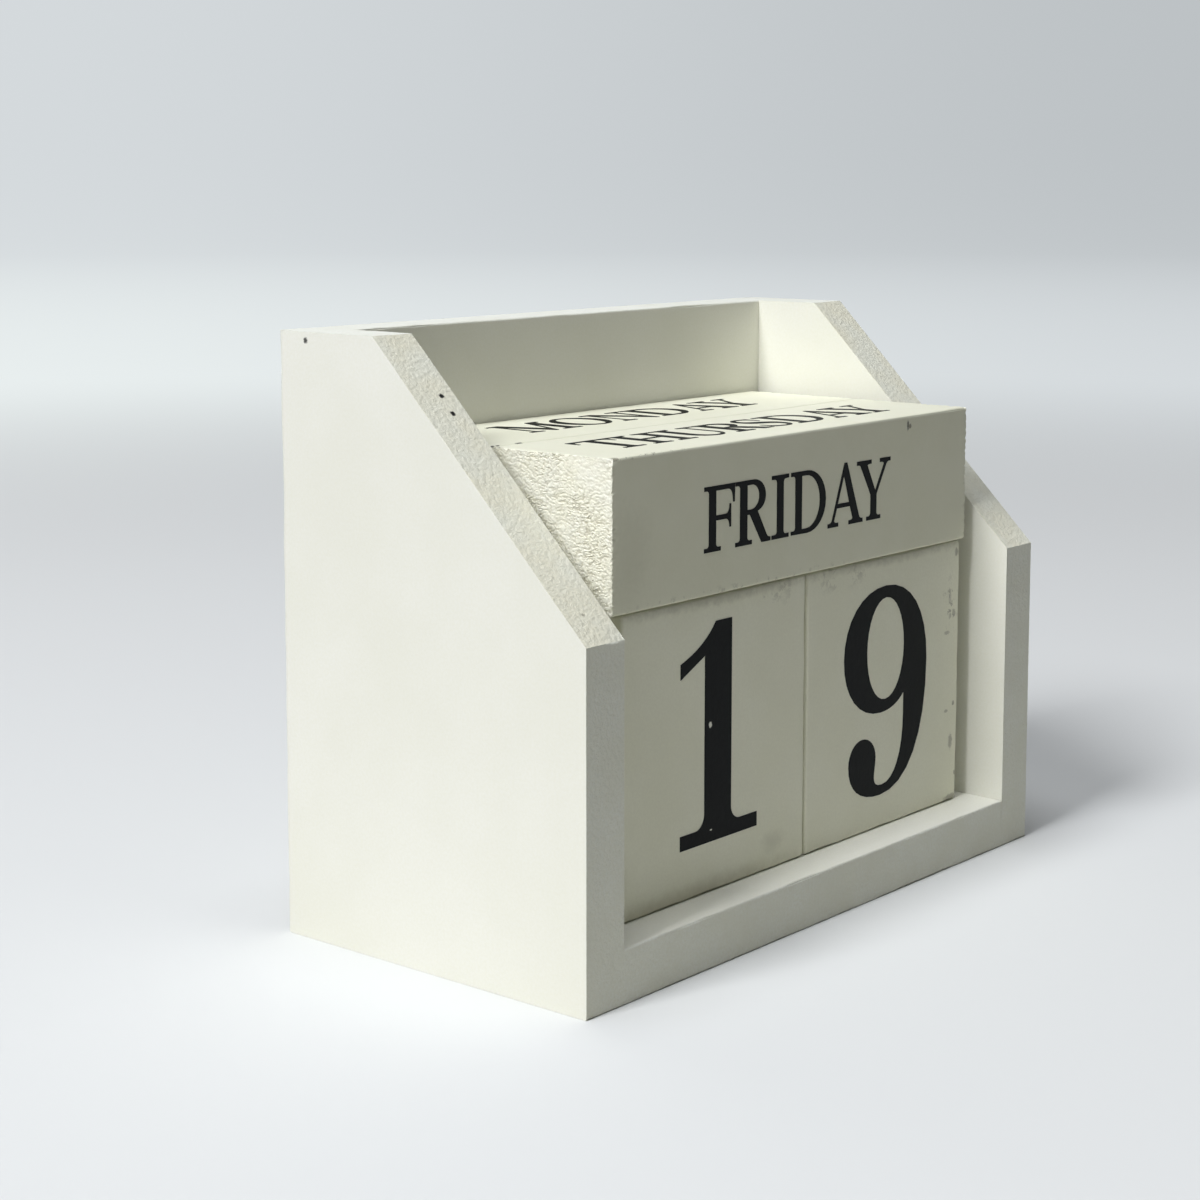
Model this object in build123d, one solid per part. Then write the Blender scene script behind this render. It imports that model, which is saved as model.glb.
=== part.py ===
from build123d import *
import math
import os

# Perpetual desk calendar: an open holder of four nailed boards, two number blocks and two weekday bars.
# X runs across, the front faces -Y and Z is up. The origin is the middle of the underside. Millimetres.

# Boards and the play round what they hold
board = 9.0  # thickness of the sides, the back and the base
left_finger_gap = 8.5  # from the left side to the left block
right_finger_gap = 4.2  # from the right block to the right side
back_gap = 0.5  # behind the blocks
block_setback = 7.5  # from the holder's front edges back to the blocks
back_rise = 18.0  # of the sides and back over the bars
front_drop = 1.5  # from the top of the blocks down to the sides' upright front edges
slope_angle = 45.0  # of the sides' sloping edges, in degrees from level

# Number blocks and weekday bars
block = 50.0  # edge of each cube
block_gap = 0.3  # between the two blocks
bar_lip = 0.3  # the front bar stands this far in front of the blocks
bar_gap = 0.3  # between the two bars
left_bar_gap = 5.7  # from the left side to the ends of the bars
right_bar_gap = 3.3  # from the ends of the bars to the right side

# Rounded edges
arris_round = 0.4  # front, top and sloping edges of the boards
rear_round = 1.8  # upright rear edges of the sides
block_round = 0.6
bar_round = 0.4

# Brads, headed flat wire, set below the surface under filler
brad_length = 25.0
brad_width = 1.0  # of the wire, in the direction in which the head stands out
brad_thickness = 1.25  # of the wire and of the head
brad_head_width = 2.0
brad_head_depth = 0.7
brad_point = 2.0  # length of the chisel point
brad_tip_width = 0.3
brad_cover = 1.0  # filler over each head
brad_play = 0.03  # all round in its slot
brad_inset = 12.0  # from the ends of a joint to its first and last brads
back_joint_brads = 3  # through each side into the back
base_joint_brads = 2  # through each side into the base
rear_joint_brads = 3  # through the back into the base
rear_brad_inset = 25.0  # from the base's ends, clear of the brads that come in there

# What follows from those
bar = (block + bar_lip - bar_gap) / 2
block_top = board + block
bar_top = block_top + bar
height = bar_top + back_rise
depth = block_setback + block + back_gap + board
inner_width = left_finger_gap + 2 * block + block_gap + right_finger_gap
bar_length = inner_width - left_bar_gap - right_bar_gap
front_height = block_top - front_drop
left, right = -inner_width / 2, inner_width / 2
front, rear = -depth / 2, depth / 2
back_face = rear - board
slope_end = front + (height - front_height) / math.tan(math.radians(slope_angle))
block_front = front + block_setback
bar_front = block_front - bar_lip


def box(low, high):
    """A box from its lowest corner to its highest."""
    size = Vector(*high) - Vector(*low)
    return Pos(*low) * Box(*size, align=(Align.MIN, Align.MIN, Align.MIN))


def brad(play=0.0):
    """A brad along +Z from the top of its head, or with play the slot that it fills."""
    wire, head, tip = brad_width / 2 + play, brad_head_width / 2 + play, brad_tip_width / 2 + play
    neck, shoulder, end = brad_head_depth + play, brad_length - brad_point, brad_length + play
    edge = [(head, 0), (head, neck), (wire, neck), (wire, shoulder), (tip, end)]
    outline = Polyline(*edge, *[(-x, z) for x, z in reversed(edge)], close=True)
    return extrude(Plane.XZ * make_face(outline), brad_thickness / 2 + play, both=True)


def spread(first, last, count):
    """Evenly spaced places from the first to the last."""
    return [first + (last - first) * i / (count - 1) for i in range(count)]


def side_brad_places():
    """Brads through the left side: up the back's edge, then along the base's edge."""
    head_x = left - board + brad_cover
    up = [(rear - board / 2, z) for z in spread(board + brad_inset, height - brad_inset, back_joint_brads)]
    along = [(y, board / 2) for y in spread(front + brad_inset, back_face - brad_inset, base_joint_brads)]
    return [Pos(head_x, y, z) * Rot(Y=90) for y, z in up + along]


def rear_brad_places():
    """Brads through the back into the rear edge of the base."""
    across = spread(left + rear_brad_inset, right - rear_brad_inset, rear_joint_brads)
    return [Pos(x, rear - brad_cover, board / 2) * Rot(X=90) for x in across]


def left_side_board():
    """The side's outline, seen from the end: upright front edge, slope and level top."""
    outline = Polyline(
        (front, 0), (rear, 0), (rear, height), (slope_end, height), (front, front_height), close=True,
    )
    side = extrude(Plane.YZ.offset(left - board) * make_face(outline), board)
    outer = side.faces().sort_by(Axis.X)[0].edges()
    rear_edge = outer.filter_by(Axis.Z).sort_by(Axis.Y)[-1]
    side = fillet(rear_edge, rear_round)
    outer = side.faces().sort_by(Axis.X)[0].edges()
    side = fillet(outer.filter_by_position(Axis.Y, front, rear - rear_round - arris_round / 2), arris_round)
    inner = side.faces().sort_by(Axis.X)[-1].edges()
    sloping = [edge for edge in inner if abs((edge % 0.5).Y * (edge % 0.5).Z) > 0.01]
    side = fillet(sloping, arris_round)
    for place in side_brad_places():
        side -= place * brad(brad_play)
    return side


def back_board():
    back = box((left, back_face, 0), (right, rear, height))
    back = fillet(back.faces().sort_by(Axis.Z)[-1].edges().filter_by(Axis.X), arris_round)
    for place in side_brad_places():
        hole = place * brad(brad_play)
        back -= hole
        back -= mirror(hole, about=Plane.YZ)
    for place in rear_brad_places():
        back -= place * brad(brad_play)
    return back


def base_board():
    base = box((left, front, 0), (right, back_face, board))
    base = fillet(base.faces().sort_by(Axis.Y)[0].edges().filter_by(Axis.X), arris_round)
    for place in side_brad_places():
        hole = place * brad(brad_play)
        base -= hole
        base -= mirror(hole, about=Plane.YZ)
    for place in rear_brad_places():
        base -= place * brad(brad_play)
    return base


def number_block(x):
    """A cube with every edge eased, standing on the base."""
    cube = box((x, block_front, board), (x + block, block_front + block, block_top))
    return fillet(cube.edges(), block_round)


def weekday_bar(y):
    """A square bar lying on the blocks, with eased long edges and plain sawn ends."""
    start = left + left_bar_gap
    stick = box((start, y, block_top), (start + bar_length, y + bar, bar_top))
    return fillet(stick.edges().filter_by(Axis.X), bar_round)


left_block_x = left + left_finger_gap
left_brads = Compound([place * brad() for place in side_brad_places()])
parts = {
    "left_side": left_side_board(),
    "right_side": mirror(left_side_board(), about=Plane.YZ),
    "back_panel": back_board(),
    "base_panel": base_board(),
    "left_side_brads": left_brads,
    "right_side_brads": mirror(left_brads, about=Plane.YZ),
    "back_brads": Compound([place * brad() for place in rear_brad_places()]),
    "left_number_block": number_block(left_block_x),
    "right_number_block": number_block(left_block_x + block + block_gap),
    "front_weekday_bar": weekday_bar(bar_front),
    "rear_weekday_bar": weekday_bar(bar_front + bar + bar_gap),
}

os.makedirs("parts", exist_ok=True)
for name, shape in parts.items():
    export_step(shape, f"parts/{name}.step")
print(f"holder {inner_width + 2 * board} wide, {depth} deep, {height} high; bars {bar_length} by {bar}")
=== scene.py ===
import bpy
import bmesh
from math import cos, radians, sin
from mathutils import Color, Matrix, Vector, noise


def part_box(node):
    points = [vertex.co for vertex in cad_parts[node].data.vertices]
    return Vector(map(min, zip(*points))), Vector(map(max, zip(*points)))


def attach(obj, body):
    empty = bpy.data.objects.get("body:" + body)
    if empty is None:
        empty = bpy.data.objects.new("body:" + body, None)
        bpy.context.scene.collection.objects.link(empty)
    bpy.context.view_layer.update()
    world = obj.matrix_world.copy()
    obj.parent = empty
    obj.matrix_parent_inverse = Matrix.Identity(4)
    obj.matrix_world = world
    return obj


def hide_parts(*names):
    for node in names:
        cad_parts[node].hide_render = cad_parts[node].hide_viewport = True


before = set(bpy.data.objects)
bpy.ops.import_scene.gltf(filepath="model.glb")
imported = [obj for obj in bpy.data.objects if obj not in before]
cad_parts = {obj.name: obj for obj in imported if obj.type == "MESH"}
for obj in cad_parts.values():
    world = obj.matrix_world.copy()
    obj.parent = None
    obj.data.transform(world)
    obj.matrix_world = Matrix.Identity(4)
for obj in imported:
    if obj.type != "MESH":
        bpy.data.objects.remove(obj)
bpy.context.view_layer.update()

# Perpetual desk calendar: painted holder, two number blocks and two weekday bars.
# Pieces are modelled in millimetres and go to metres when they are finished. Front is -Y.
mm = 0.001
print("frame loaded:", ", ".join(sorted(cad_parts)))


def nodeBox(node):
    low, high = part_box(node)
    return low / mm, high / mm


# ---- shader helper ----
class Link:
    def __init__(self, shader, socket):
        self.shader, self.socket = shader, socket

    def __add__(self, other):
        return self.shader.math("ADD", self, other)

    def __radd__(self, other):
        return self.shader.math("ADD", other, self)

    def __sub__(self, other):
        return self.shader.math("SUBTRACT", self, other)

    def __rsub__(self, other):
        return self.shader.math("SUBTRACT", other, self)

    def __mul__(self, other):
        return self.shader.math("MULTIPLY", self, other)

    def __truediv__(self, other):
        return self.shader.math("DIVIDE", self, other)


class Shader:
    def __init__(self, name):
        self.material = bpy.data.materials.new(name)
        self.material.use_nodes = True
        self.tree = self.material.node_tree
        self.tree.nodes.clear()
        self.coords = self.node("TexCoord", output="Object")

    def node(self, kind, settings=None, values=None, output=0):
        made = self.tree.nodes.new("ShaderNode" + kind)
        for name, value in (settings or {}).items():
            setattr(made, name, value)
        for name, value in (values or {}).items():
            if isinstance(value, Link):
                self.tree.links.new(value.socket, made.inputs[name])
            else:
                made.inputs[name].default_value = value
        return Link(self, made.outputs[output] if made.outputs else None)

    def math(self, operation, a, b):
        return self.node("Math", {"operation": operation}, {0: a, 1: b})

    def clamp(self, value):
        return self.node("Clamp", values={"Value": value})

    def mix(self, factor, a, b):
        return self.node("Mix", {"data_type": "RGBA"}, {0: factor, 6: a, 7: b}, output=2)

    def smooth(self, value, low, high):  # 0 under low, 1 over high
        settings = {"interpolation_type": "SMOOTHSTEP"}
        return self.node("MapRange", settings, {"Value": value, "From Min": low, "From Max": high})

    def noise(self, size, detail=2.0, rough=0.5, where=None):  # size of its waves in mm
        return self.node("TexNoise", values={
            "Vector": where or self.coords, "Scale": 1 / (size * mm), "Detail": detail, "Roughness": rough,
        })

    def stretch(self, scale):
        return self.node("Mapping", values={"Vector": self.coords, "Scale": scale})

    def spot(self, place, size, ragged=0.35, soft=0.35):
        # a patch at a place, used for wear, dirt and painted shade, with half its width along each axis, in
        # mm
        away = self.node("VectorMath", {"operation": "SUBTRACT"}, {0: self.coords, 1: Vector(place) * mm})
        scaled = self.node("VectorMath", {"operation": "DIVIDE"}, {0: away, 1: Vector(size) * mm})
        length = self.node("VectorMath", {"operation": "LENGTH"}, {0: scaled}, output="Value")
        edge = length + (self.noise(min(size) * 1.1, 3.0, 0.6) - 0.5) * (4 * ragged)
        return 1 - self.smooth(edge, 1 - soft, 1 + soft)

    def bump(self, height, strength, distance):  # distance in mm
        return self.node("Bump", values={"Height": height, "Strength": strength, "Distance": distance * mm})

    def surface(self, values):
        shown = self.node("BsdfPrincipled", values=values)
        self.node("OutputMaterial", values={"Surface": shown})
        return self.material


def tone(red, green, blue):  # a colour as it looks on a screen, 0 to 255
    return (*Color((red / 255, green / 255, blue / 255)).from_srgb_to_scene_linear(), 1)


# ---- camera ----
cameraSetup = {
    "place": (-329.8, -258.2, 128.6),
    "azimuth": 49.97,  # degrees to the right of straight ahead
    "pitch": -6.8,
    "lens": 71.2,
    "shiftY": -0.125,
}


def makeCamera(setup):
    data = bpy.data.cameras.new("camera")
    data.lens, data.shift_y = setup["lens"], setup["shiftY"]
    data.clip_start, data.clip_end = 0.01, 20
    camera = bpy.data.objects.new("camera", data)
    turn, pitch = radians(setup["azimuth"]), radians(setup["pitch"])
    ahead = Vector((sin(turn) * cos(pitch), cos(turn) * cos(pitch), sin(pitch)))
    camera.location = Vector(setup["place"]) * mm
    camera.rotation_mode = "QUATERNION"
    camera.rotation_quaternion = ahead.to_track_quat("-Z", "Y")
    bpy.context.scene.collection.objects.link(camera)
    bpy.context.scene.camera = camera


makeCamera(cameraSetup)

# ---- lights and floor ----
studio = {
    "key": {
        "from": (-0.71, 0.03, 0.70),
        "size": (0.7, 0.9),  # level, then up its tilt
        "power": 50,
        "colour": (0.985, 0.99, 1.03),
    },
    "fill": {
        "from": (-0.12, 0.02, 0.99),
        "size": (1.2, 1.2),
        "power": 30,
        "colour": (0.965, 0.985, 1.05),
    },
    "lampDistance": 2.4,
    "lampAim": (0, 0, 0.05),
    "sky": tone(230, 229, 214),
    "skyStrength": 0.055,
    "floorShown": tone(217, 219, 217),
    "bounceNear": tone(198, 198, 190),  # the floor as it lights the object, close by and farther off
    "bounceFar": tone(140, 140, 140),
    "bounceFade": (0.08, 0.45),
    "nearLeft": tone(234, 240, 240),  # the backdrop, with a painted light fall-off by side and by distance
    "nearRight": tone(214, 219, 222),
    "farLeft": tone(213, 218, 221),
    "farRight": tone(188, 193, 196),
    "acrossView": (0.643, -0.766, 0),
    "sideFade": 0.3,
    "sideReach": 0.42,
    "backFade": (0.5, 4.2),
    "paperFade": (0.4, 1.1),
    "floorRadius": 3.2,
    "sweepRadius": 1.0,
    "wallHeight": 1.6,
}


def makeLamp(name, setup):
    lampSetup = setup[name]
    data = bpy.data.lights.new(name, "AREA")
    data.shape = "RECTANGLE"
    data.size, data.size_y = lampSetup["size"]
    data.energy, data.color = lampSetup["power"], lampSetup["colour"]
    lamp = bpy.data.objects.new(name, data)
    toward = Vector(lampSetup["from"]).normalized()
    lamp.location = toward * setup["lampDistance"] + Vector(setup["lampAim"])
    lamp.rotation_mode = "QUATERNION"
    lamp.rotation_quaternion = toward.to_track_quat("Z", "Y")
    bpy.context.scene.collection.objects.link(lamp)


def makeSky(setup):
    world = bpy.data.worlds.new("sky")
    bpy.context.scene.world = world
    world.use_nodes = True
    background = world.node_tree.nodes["Background"]
    background.inputs["Color"].default_value = setup["sky"]
    background.inputs["Strength"].default_value = setup["skyStrength"]


def makeFloor(setup):
    shader = Shader("floorPaper")
    seen = shader.node("LightPath", output="Is Camera Ray")
    glossy = shader.node("LightPath", output="Is Glossy Ray")
    through = shader.node("LightPath", output="Is Transmission Ray")
    shown = shader.clamp(seen + glossy + through)
    level = shader.node("VectorMath", {"operation": "MULTIPLY"}, {0: shader.coords, 1: (1, 1, 0)})
    away = shader.node("VectorMath", {"operation": "LENGTH"}, {0: level}, "Value")
    bounce = shader.mix(shader.smooth(away, *setup["bounceFade"]), setup["bounceNear"], setup["bounceFar"])
    colour = shader.mix(shown, bounce, setup["floorShown"])
    grain = shader.noise(0.6, 3.0, 0.6)
    paper = shader.node("BsdfPrincipled", values={
        "Base Color": colour, "Roughness": 0.85, "Specular IOR Level": 0.2,
        "Normal": shader.bump(grain, 0.05, 0.2),
    })
    # away from the object the paper fades into a glowing backdrop with a painted light fall-off, lighter to
    # the left and close by, darker to the right, farther off and higher up
    places = {0: shader.coords, 1: setup["acrossView"]}
    across = shader.node("VectorMath", {"operation": "DOT_PRODUCT"}, places, "Value")
    height = shader.node("SeparateXYZ", values={0: shader.coords}, output="Z")
    side = shader.smooth(across / (away + setup["sideReach"]), -setup["sideFade"], setup["sideFade"])
    back = shader.smooth(away + height * 2, *setup["backFade"])
    near = shader.mix(side, setup["nearLeft"], setup["nearRight"])
    far = shader.mix(side, setup["farLeft"], setup["farRight"])
    backdrop = shader.node("Emission", values={"Color": shader.mix(back, near, far), "Strength": 1.0})
    fade = shown * shader.smooth(away, *setup["paperFade"])
    paperAndBackdrop = shader.node("MixShader", values={0: fade, 1: paper, 2: backdrop})
    shader.node("OutputMaterial", values={"Surface": paperAndBackdrop})
    bm = bmesh.new()
    # half the section of the sweep: floor, bend and wall, spun into a bowl
    flat, bend, wall = setup["floorRadius"], setup["sweepRadius"], setup["wallHeight"]
    line = [(0, 0), (flat, 0)]
    line += [(flat + bend * sin(radians(a)), bend - bend * cos(radians(a))) for a in range(10, 91, 10)]
    line += [(flat + bend, bend + wall)]
    verts = [bm.verts.new((x, 0, z)) for x, z in line]
    edges = [bm.edges.new(pair) for pair in zip(verts, verts[1:])]
    section = verts + edges
    bmesh.ops.spin(
        bm, geom=section, cent=(0, 0, 0), axis=(0, 0, 1), angle=radians(360), steps=72, use_merge=True,
    )
    bmesh.ops.remove_doubles(bm, verts=bm.verts, dist=1e-5)
    bmesh.ops.recalc_face_normals(bm, faces=bm.faces)
    if bm.faces[0].normal.z < 0 or sum(f.normal.z for f in bm.faces) < 0:
        bmesh.ops.reverse_faces(bm, faces=bm.faces)
    mesh = bpy.data.meshes.new("studio_floor")
    bm.to_mesh(mesh)
    bm.free()
    mesh.shade_smooth()
    mesh.materials.append(shader.material)
    floor = bpy.data.objects.new("studio_floor", mesh)
    bpy.context.scene.collection.objects.link(floor)


makeLamp("key", studio)
makeLamp("fill", studio)
makeSky(studio)
makeFloor(studio)
print("camera, light and floor made")

# ---- paint ----
cream = tone(239, 239, 227)
creamDeep = tone(231, 230, 210)
creamPale = tone(243, 243, 233)
grime = tone(120, 116, 100)
# dark specks, and the painted shade of a pit
darkSpecksAndPitShade = tone(44, 42, 38)


def paintMaterial(name, setup, marks=()):
    # satin paint: faint cloudiness, orange peel, and marks as (place, size, colour, strength) with the
    # size of their specks after that where they are broken up; wide marks have soft edges
    shader = Shader(name)
    cloud = shader.noise(setup["cloudSize"], 3.0, 0.55)
    colour = shader.mix(shader.smooth(cloud, 0.3, 0.7), setup["colour"], setup["second"])
    fleck = shader.smooth(shader.noise(0.5, 2.0, 0.5), 0.25, 0.75)
    colour = shader.mix(fleck * setup["fleck"], colour, setup["fleckColour"])
    for place, size, markColour, strength, *specks in marks:
        mask = shader.spot(place, size, soft=0.8 if max(size) > 2.5 else 0.35) * strength
        for speck in specks:
            mask = mask * shader.smooth(shader.noise(speck, 4.0, 0.7), 0.54, 0.62)
        colour = shader.mix(mask, colour, markColour)
    if "creaseShadeColour" in setup:  # the torn ends keep the depth of their creases in the mesh, and the creases are darkened with it as painted shade
        crease = shader.node("Attribute", {"attribute_name": "torn"}, output="Fac")
        colour = shader.mix(crease * setup["crease"], colour, setup["creaseShadeColour"])
    peel = shader.noise(setup["peelSize"], 2.0, 0.5)
    fine = shader.noise(setup["peelSize"] * 0.35, 3.0, 0.6)
    normal = shader.bump(peel * 0.7 + fine * 0.3, setup["peel"], setup["peelDepth"])
    rough = setup["rough"] + (shader.noise(3.0, 2.0) - 0.5) * 0.16
    return shader.surface({
        "Base Color": colour, "Roughness": rough, "Normal": normal, "IOR": 1.48, "Specular IOR Level": 0.4,
    })


facePaint = {
    "colour": cream, "second": creamPale, "cloudSize": 26, "fleck": 0.25, "fleckColour": creamDeep,
    "peelSize": 1.1, "peel": 0.35, "peelDepth": 0.07, "rough": 0.5,
}
edgePaint = {
    **facePaint, "colour": tone(237, 239, 230), "second": tone(232, 233, 220), "cloudSize": 9, "fleck": 0.7,
    "fleckColour": tone(229, 229, 214), "peelSize": 0.9, "peel": 0.9, "peelDepth": 0.3,
}
slopePaint = {
    **facePaint, "colour": tone(233, 234, 219), "second": tone(234, 231, 209), "cloudSize": 8, "fleck": 0.6,
    "fleckColour": tone(222, 222, 204), "peelSize": 0.8, "peel": 0.9, "peelDepth": 0.33, "rough": 0.55,
}
blockPaint = {
    **facePaint, "colour": tone(239, 239, 217), "second": tone(242, 242, 222), "cloudSize": 14,
    "fleck": 0.4, "peel": 0.4, "peelDepth": 0.09,
}
barPaint = {**blockPaint, "colour": tone(227, 227, 204), "second": tone(231, 231, 210)}
# the sawn ends, their paint set lighter than the bars' as painted light on the ends
sawnPaint = {
    **facePaint, "colour": tone(253, 252, 234), "second": tone(254, 254, 241), "cloudSize": 5, "fleck": 0.2,
    "fleckColour": tone(240, 235, 212), "peelSize": 0.45, "peel": 0.6, "peelDepth": 0.1, "rough": 0.6,
    # painted shade in the creases of the torn grain
    "crease": 0.8, "creaseShadeColour": tone(160, 151, 120),
}


# ---- finishing a piece ----
def finishPiece(bm, name, body, node, materials, sharpAngle=35):
    bmesh.ops.scale(bm, vec=(mm, mm, mm), verts=bm.verts)
    bmesh.ops.recalc_face_normals(bm, faces=bm.faces)
    mesh = bpy.data.meshes.new(name)
    bm.to_mesh(mesh)
    bm.free()
    mesh.shade_smooth()
    mesh.set_sharp_from_angle(angle=radians(sharpAngle))
    for material in materials:
        mesh.materials.append(material)
    piece = bpy.data.objects.new(name, mesh)
    bpy.context.scene.collection.objects.link(piece)
    weighted = piece.modifiers.new("even shading", "WEIGHTED_NORMAL")
    weighted.keep_sharp = True
    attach(piece, body)
    if node:
        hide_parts(node)
    print("made", name, len(mesh.polygons), "faces")


def slices(bm, axis, places):
    # flat cuts right through, so that a surface can carry fine shape
    way = Vector([1 if i == axis else 0 for i in range(3)])
    for place in places:
        everything = bm.verts[:] + bm.edges[:] + bm.faces[:]
        bmesh.ops.bisect_plane(bm, geom=everything, dist=1e-4, plane_co=way * place, plane_no=way)


def steps(low, high, step):
    count = max(1, round((high - low) / step))
    return [low + (high - low) * i / count for i in range(1, count)]


sanding = {
    "level": 0.5,  # of the deepest hollow, before the waves
    "swing": 0.7,
    "rubbed": 0.25,  # of the most that an arris wanders
    "flat": 0.97,  # faces whose normals lie along an axis or the slope by more than this are no arris
}


def sink(bm, depth, size, seed, wander, wanderSize=9.0):
    # hand-sanded unevenness, never outwards, and arrises that wander a little
    bm.normal_update()
    low, high = (Vector(limit(vert.co[i] for vert in bm.verts) for i in range(3)) for limit in (min, max))
    moves = []
    for vert in bm.verts:
        wave = noise.fractal(vert.co / size + Vector((seed, 0, 0)), 1.0, 2.0, 2)
        amount = depth * min(1, max(0, sanding["level"] + sanding["swing"] * wave))
        straight = max(*map(abs, vert.normal), (vert.normal.z - vert.normal.y) * 0.707)
        if straight < sanding["flat"]:
            rub = noise.fractal(vert.co / wanderSize + Vector((0, seed, 0)), 1.0, 2.0, 3)
            amount += wander * max(0, sanding["rubbed"] + rub)
        moves.append((vert, -vert.normal * amount))
    for vert, move in moves:
        vert.co = [max(low[i], min(high[i], vert.co[i] + move[i])) for i in range(3)]


def edgesWhere(bm, test):
    # straight edges, by the middle and the direction of each
    found = []
    for edge in bm.edges:
        middle = (edge.verts[0].co + edge.verts[1].co) / 2
        along = (edge.verts[1].co - edge.verts[0].co).normalized()
        if test(middle, Vector(map(abs, along))):
            found.append(edge)
    return found


def ease(bm, edges, width, segments=3):
    bmesh.ops.bevel(
        bm, geom=edges, offset=width, offset_type="OFFSET", segments=segments, profile=0.5, affect="EDGES",
        material=-1, clamp_overlap=True,
    )


# ---- holder boards ----
touch = 0.01  # mm, as near as counts as on a plane
board = {
    "frontHeight": 57.5,  # of the sides' upright front edges
    "arris": 0.4,
    "footArris": 0.35,
    "rearRound": 1.8,
    "innerArris": 0.22,
    "grid": 3.0,
    "sink": 0.03,
    "wave": 14,
    "wander": 0.2,  # of the rounded arrises
    "seed": 3,
}


def paintEdges(bm, isEdge, isSlope=None):
    # 0 broad faces, 1 cut edges, 2 the sides' slopes
    for face in bm.faces:
        if isSlope and isSlope(face.normal):
            face.material_index = 2
        else:
            face.material_index = 1 if isEdge(face.normal) else 0


def makeSide(name, setup, materials):
    low, high = nodeBox(name)
    outer = -1 if name == "left_side" else 1  # the side that faces away from the calendar
    slopeEnd = low.y + high.z - setup["frontHeight"]
    innerX = high.x if outer < 0 else low.x
    outerX = low.x if outer < 0 else high.x
    baseTop = nodeBox("base_panel")[1].z
    bm = bmesh.new()
    outline = [(low.y, 0), (high.y, 0), (high.y, high.z), (slopeEnd, high.z), (low.y, setup["frontHeight"])]
    face = bm.faces.new([bm.verts.new((innerX, y, z)) for y, z in outline])
    wall = bmesh.ops.extrude_face_region(bm, geom=[face])
    moved = [item for item in wall["geom"] if isinstance(item, bmesh.types.BMVert)]
    bmesh.ops.translate(bm, verts=moved, vec=(outerX - innerX, 0, 0))
    bmesh.ops.recalc_face_normals(bm, faces=bm.faces)
    slices(bm, 2, [baseTop])  # the inner front edge is eased only above the base

    def onOuter(point):
        return abs(point.x - outerX) < touch

    def onInner(point):
        return abs(point.x - innerX) < touch

    rearEdge = edgesWhere(bm, lambda m, d: onOuter(m) and abs(m.y - high.y) < touch and d.z > 0.9)
    ease(bm, rearEdge, setup["rearRound"], 7)
    rim = edgesWhere(bm, lambda m, d: onOuter(m) and not (d.z > 0.9 and m.y > high.y - 3) and m.y < high.y)
    slope = edgesWhere(bm, lambda m, d: onInner(m) and d.y > 0.3 and d.z > 0.3)
    rounded = [e for e in rim + slope if abs(e.verts[0].co.x - e.verts[1].co.x) < touch]
    corners = [e for e in rounded if len(e.link_faces) == 2 and e.calc_face_angle(0) > 0.5]
    ease(bm, corners, setup["arris"], 4)
    inner = edgesWhere(bm, lambda m, d: onInner(m) and abs(m.y - low.y) < touch and m.z > baseTop)
    ease(bm, [e for e in inner if e.calc_face_angle(0) > 1.4], setup["innerArris"], 3)
    frontFoot = edgesWhere(bm, lambda m, d: m.z < touch and m.y < low.y + 0.5 and d.x > 0.9)
    ease(bm, frontFoot, setup["footArris"], 3)
    slices(bm, 1, steps(low.y, high.y, setup["grid"]))
    slices(bm, 2, steps(low.z, high.z, setup["grid"]))
    slices(bm, 0, steps(low.x, high.x, setup["grid"]))
    bm.normal_update()
    paintEdges(
        bm, lambda normal: abs(normal.x) < 0.7 and normal.y < 0.5,
        lambda normal: abs(normal.x) < 0.7 and normal.y < -0.3 and normal.z > 0.3,
    )
    sink(bm, setup["sink"], setup["wave"], setup["seed"], setup["wander"])
    finishPiece(bm, "painted_" + name, "holder", name, materials)


def makeBack(setup, materials):
    low, high = nodeBox("back_panel")
    bm = bmesh.new()
    bmesh.ops.create_cube(bm, size=1, matrix=Matrix.LocRotScale((low + high) / 2, None, high - low))
    top = edgesWhere(bm, lambda m, d: d.x > 0.9 and m.z > high.z - touch)
    ease(bm, top, setup["arris"], 4)
    for axis in range(3):
        slices(bm, axis, steps(low[axis], high[axis], setup["grid"]))
    bm.normal_update()
    paintEdges(bm, lambda normal: normal.z > 0.7)
    sink(bm, setup["sink"], setup["wave"], setup["seed"], setup["wander"])
    finishPiece(bm, "painted_back_panel", "holder", "back_panel", materials)


def makeBase(setup, materials):
    low, high = nodeBox("base_panel")
    bm = bmesh.new()
    bmesh.ops.create_cube(bm, size=1, matrix=Matrix.LocRotScale((low + high) / 2, None, high - low))
    frontTop = edgesWhere(bm, lambda m, d: d.x > 0.9 and m.y < low.y + touch and m.z > touch)
    ease(bm, frontTop, setup["arris"], 4)
    frontFoot = edgesWhere(bm, lambda m, d: d.x > 0.9 and m.y < low.y + touch and m.z < touch)
    ease(bm, frontFoot, setup["footArris"], 3)
    for axis in range(3):
        slices(bm, axis, steps(low[axis], high[axis], setup["grid"]))
    bm.normal_update()
    paintEdges(bm, lambda normal: normal.y < -0.5)
    sink(bm, setup["sink"], setup["wave"], setup["seed"], setup["wander"])
    finishPiece(bm, "painted_base_panel", "holder", "base_panel", materials)


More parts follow.
